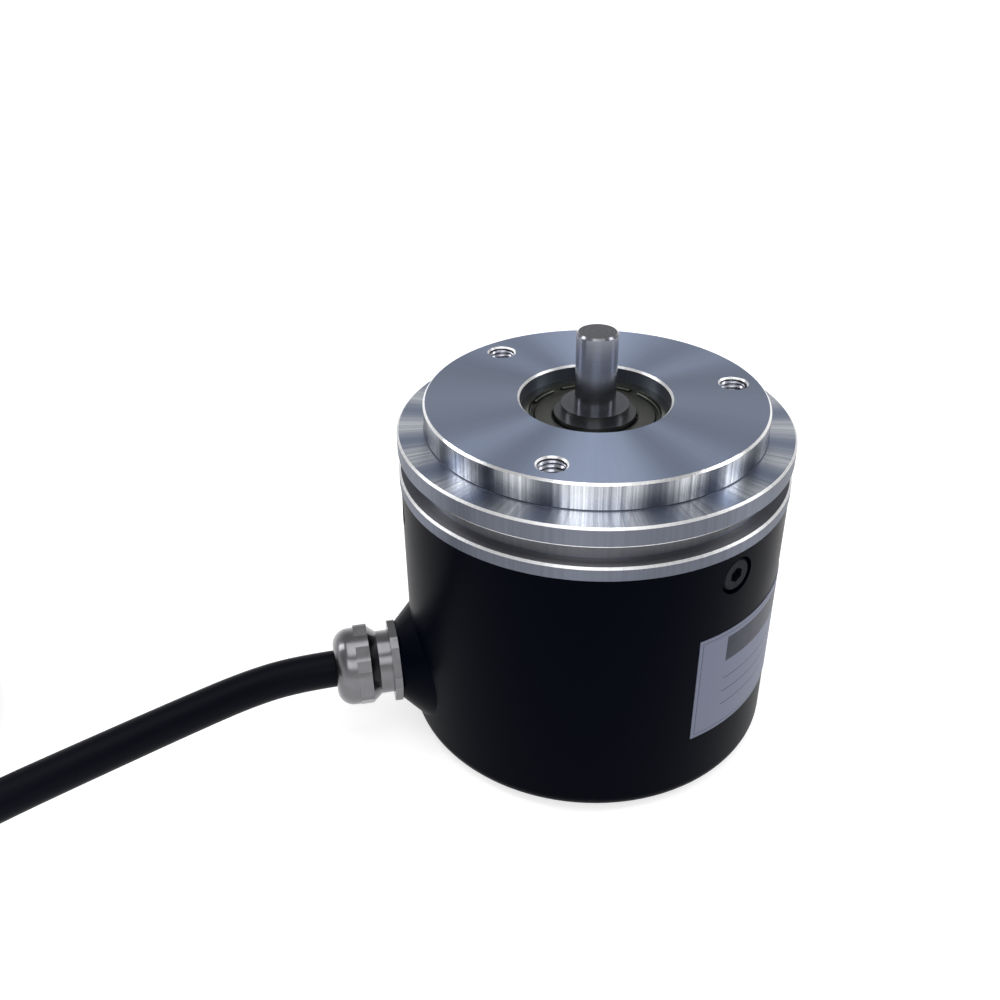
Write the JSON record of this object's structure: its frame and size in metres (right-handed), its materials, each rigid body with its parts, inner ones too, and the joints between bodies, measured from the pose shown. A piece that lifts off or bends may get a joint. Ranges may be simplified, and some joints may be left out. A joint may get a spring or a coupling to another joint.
{
  "type": "incremental rotary encoder",
  "caption": "Incremental rotary encoder with a grooved servo flange, raised pilot, plain round shaft, cup housing, side cable gland and a coiled cable with free leads.",
  "frame": {"origin": "centre of the housing's flat base, on the shaft's axis", "axes": "+Z along the shaft, out of the flange; the first tapped mounting hole lies on +X and the cable leaves towards -X"},
  "size_m": [0.211, 0.0812, 0.0643],
  "materials": {
    "anodised_aluminium": "turned and anodised, bluish grey",
    "black_coating": "black satin coating on aluminium",
    "stainless_steel": "ground and polished",
    "spring_steel": "blued",
    "screw_steel": "satin",
    "bearing_steel": "bright",
    "disc_steel": "etched sheet",
    "brass": "turned",
    "nickel_plate": "bright nickel on brass",
    "seal_rubber": "matte",
    "board_laminate": "solder mask",
    "black_plastic": "moulded",
    "pale_plastic": "moulded",
    "clear_lens": "clear epoxy",
    "wire_insulation": "one colour for each wire",
    "cable_jacket": "satin black jacket"
  },
  "bodies": {
    "stator": {"flange": "anodised_aluminium", "housing": "black_coating", "housing_screws": "screw_steel", "housing_seal": "seal_rubber", "front_bearing_outer_ring": "bearing_steel", "front_bearing_shields": "bearing_steel", "rear_bearing_outer_ring": "bearing_steel", "rear_bearing_shields": "bearing_steel", "preload_washer": "spring_steel", "retaining_ring": "spring_steel", "circuit_board": "board_laminate", "board_pillars": "brass", "board_screws": "screw_steel", "photodetector": "black_plastic", "reticle": "disc_steel", "lamp_bracket": "black_plastic", "lamp": "clear_lens", "driver_chips": "black_plastic", "board_header": "pale_plastic", "wire_plug": "pale_plastic", "conductors": "wire_insulation", "gland_body": "nickel_plate", "gland_gasket": "seal_rubber", "gland_bush": "seal_rubber", "gland_washer": "black_plastic", "gland_nut": "nickel_plate", "cable_entry": "cable_jacket", "cable_run": "cable_jacket", "cable_coil": "cable_jacket", "coil_ties": "black_plastic", "lead_wires": "wire_insulation"},
    "rotor": {"shaft": "stainless_steel", "inner_spacer": "stainless_steel", "shaft_circlip": "spring_steel", "front_bearing_inner_ring": "bearing_steel", "rear_bearing_inner_ring": "bearing_steel", "disc_hub": "brass", "code_disc": "disc_steel", "disc_clamp_ring": "brass", "disc_screws": "screw_steel", "hub_set_screws": "screw_steel"},
    "front_cage": {"front_bearing_balls": "bearing_steel", "front_bearing_cage": "brass"},
    "rear_cage": {"rear_bearing_balls": "bearing_steel", "rear_bearing_cage": "brass"}
  },
  "joints": [
    {"name": "shaft_spin", "type": "hinge", "parent": "stator", "child": "rotor", "pos_m": [0, 0, 0.058], "axis": [0, 0, 1], "continuous": true},
    {"name": "front_cage_spin", "type": "hinge", "parent": "stator", "child": "front_cage", "pos_m": [0, 0, 0.0482], "axis": [0, 0, 1], "continuous": true},
    {"name": "rear_cage_spin", "type": "hinge", "parent": "stator", "child": "rear_cage", "pos_m": [0, 0, 0.0342], "axis": [0, 0, 1], "continuous": true}
  ],
  "couplings": [
    {"joint": "front_cage_spin", "follows": "shaft_spin", "ratio": 0.3677},
    {"joint": "rear_cage_spin", "follows": "shaft_spin", "ratio": 0.3677}
  ]
}
